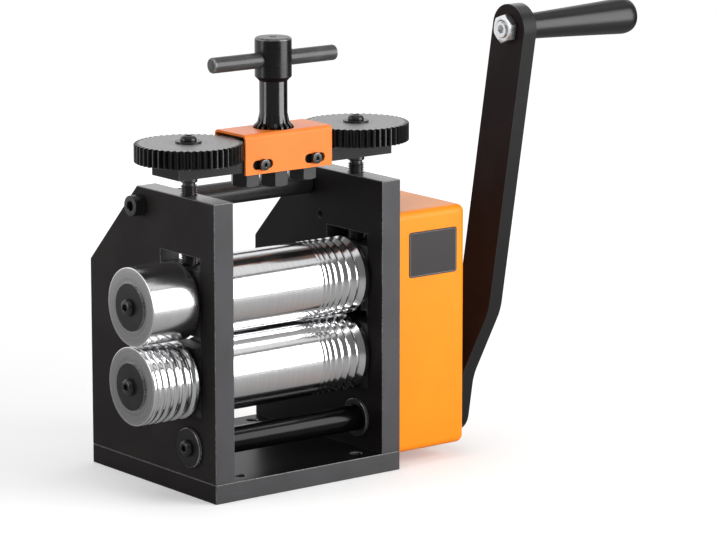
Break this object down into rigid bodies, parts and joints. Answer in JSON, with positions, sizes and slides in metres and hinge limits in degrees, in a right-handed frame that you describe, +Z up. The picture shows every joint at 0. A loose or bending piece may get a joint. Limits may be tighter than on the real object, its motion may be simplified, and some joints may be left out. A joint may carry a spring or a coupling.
{
  "type": "jewellers rolling mill",
  "caption": "Bench rolling mill with flat, wire and side rollers, a geared T-handle that sets the roll gap through paired screws, and a crank on a covered gear drive.",
  "frame": {"origin": "middle of the base plate's flat underside", "axes": "+X along the rolls towards the crank, +Y from the front towards the back, +Z up"},
  "size_m": [0.348, 0.1648, 0.2868],
  "materials": {
    "black_frame": "satin black over fine grinding marks",
    "black_steel": "black oxide, satin",
    "roll_steel": "hardened steel, ground and mirror-polished",
    "gear_steel": "bright cut steel, lightly oiled",
    "bearing_iron": "dark machined iron",
    "orange_paint": "orange powder coat, semi-gloss",
    "bright_zinc": "bright zinc plate",
    "grip_plastic": "glossy black moulding"
  },
  "bodies": {
    "frame": {"base_plate": "black_frame", "left_side_plate": "black_frame", "right_side_plate": "black_frame", "left_lower_bearing_block": "bearing_iron", "right_lower_bearing_block": "bearing_iron", "left_shaft_bush": "black_steel", "right_shaft_bush": "black_steel", "tie_bar": "black_steel", "left_tie_bar_screw": "black_steel", "right_tie_bar_screw": "black_steel", "base_screw_1": "black_steel", "base_screw_2": "black_steel", "base_screw_3": "black_steel", "base_screw_4": "black_steel", "gear_cover": "orange_paint", "cover_screw_1": "black_steel", "cover_screw_2": "black_steel"},
    "lift": {"bridge_bar": "black_steel", "pinion_guard": "orange_paint", "left_upper_bearing_block": "bearing_iron", "right_upper_bearing_block": "bearing_iron", "left_idler_bolt": "black_steel", "right_idler_bolt": "black_steel", "left_front_guard_screw": "black_steel", "right_front_guard_screw": "black_steel", "left_rear_guard_screw": "black_steel", "right_rear_guard_screw": "black_steel"},
    "handle": {"pinion_handle": "black_steel", "cross_bar": "black_steel", "handle_bolt": "black_steel"},
    "left_idler": {"left_idler_gear": "black_steel"},
    "right_idler": {"right_idler_gear": "black_steel"},
    "left_screw": {"left_adjusting_screw": "black_steel", "left_adjusting_gear": "black_steel", "left_gear_washer": "black_steel", "left_gear_screw": "black_steel"},
    "right_screw": {"right_adjusting_screw": "black_steel", "right_adjusting_gear": "black_steel", "right_gear_washer": "black_steel", "right_gear_screw": "black_steel"},
    "upper_roll": {"upper_roll": "roll_steel", "upper_side_roller": "roll_steel", "upper_keeper_disc": "black_steel", "upper_keeper_screw": "black_steel", "upper_roll_gear": "gear_steel"},
    "lower_roll": {"lower_roll": "roll_steel", "lower_side_roller": "roll_steel", "lower_keeper_disc": "black_steel", "lower_keeper_screw": "black_steel", "lower_roll_gear": "gear_steel", "reduction_gear": "gear_steel"},
    "crank": {"drive_shaft": "black_steel", "drive_pinion": "gear_steel", "shaft_washer": "black_steel", "shaft_screw": "black_steel", "crank_arm": "black_frame", "hub_screw": "black_steel", "grip_bolt": "bright_zinc", "grip_nut": "bright_zinc"},
    "grip": {"crank_grip": "grip_plastic"}
  },
  "joints": [
    {"name": "crank_turn", "type": "hinge", "parent": "frame", "child": "crank", "pos_m": [0, -0.0405, 0.03071], "axis": [1, 0, 0], "continuous": true},
    {"name": "lower_roll_turn", "type": "hinge", "parent": "frame", "child": "lower_roll", "pos_m": [0, -0.0305, 0.0715], "axis": [1, 0, 0], "continuous": true},
    {"name": "upper_roll_turn", "type": "hinge", "parent": "lift", "child": "upper_roll", "pos_m": [0, -0.0305, 0.12], "axis": [1, 0, 0], "continuous": true},
    {"name": "grip_spin", "type": "hinge", "parent": "crank", "child": "grip", "pos_m": [0.194, -0.08389, 0.27184], "axis": [1, 0, 0], "continuous": true},
    {"name": "lift_rise", "type": "slide", "parent": "frame", "child": "lift", "axis": [0, 0, 1], "range_m": [-0.0004, 0.0066]},
    {"name": "handle_turn", "type": "hinge", "parent": "lift", "child": "handle", "pos_m": [0, -0.0305, 0.2], "axis": [0, 0, 1], "range_deg": [-267, 4401]},
    {"name": "left_idler_turn", "type": "hinge", "parent": "lift", "child": "left_idler", "pos_m": [-0.02142, -0.0305, 0.209], "axis": [0, 0, 1], "range_deg": [-4951, 301]},
    {"name": "right_idler_turn", "type": "hinge", "parent": "lift", "child": "right_idler", "pos_m": [0.02142, -0.0305, 0.209], "axis": [0, 0, 1], "range_deg": [-4951, 301]},
    {"name": "left_screw_turn", "type": "hinge", "parent": "lift", "child": "left_screw", "pos_m": [-0.063, -0.0305, 0.2], "axis": [0, 0, 1], "range_deg": [-97, 1585]},
    {"name": "right_screw_turn", "type": "hinge", "parent": "lift", "child": "right_screw", "pos_m": [0.063, -0.0305, 0.2], "axis": [0, 0, 1], "range_deg": [-97, 1585]}
  ],
  "couplings": [
    {"joint": "lower_roll_turn", "follows": "crank_turn", "ratio": -0.4},
    {"joint": "upper_roll_turn", "follows": "crank_turn", "ratio": 0.4},
    {"joint": "handle_turn", "follows": "lift_rise", "rad_per_m": 11636},
    {"joint": "left_idler_turn", "follows": "lift_rise", "rad_per_m": -13090},
    {"joint": "right_idler_turn", "follows": "lift_rise", "rad_per_m": -13090},
    {"joint": "left_screw_turn", "follows": "lift_rise", "rad_per_m": 4188.8},
    {"joint": "right_screw_turn", "follows": "lift_rise", "rad_per_m": 4188.8}
  ]
}
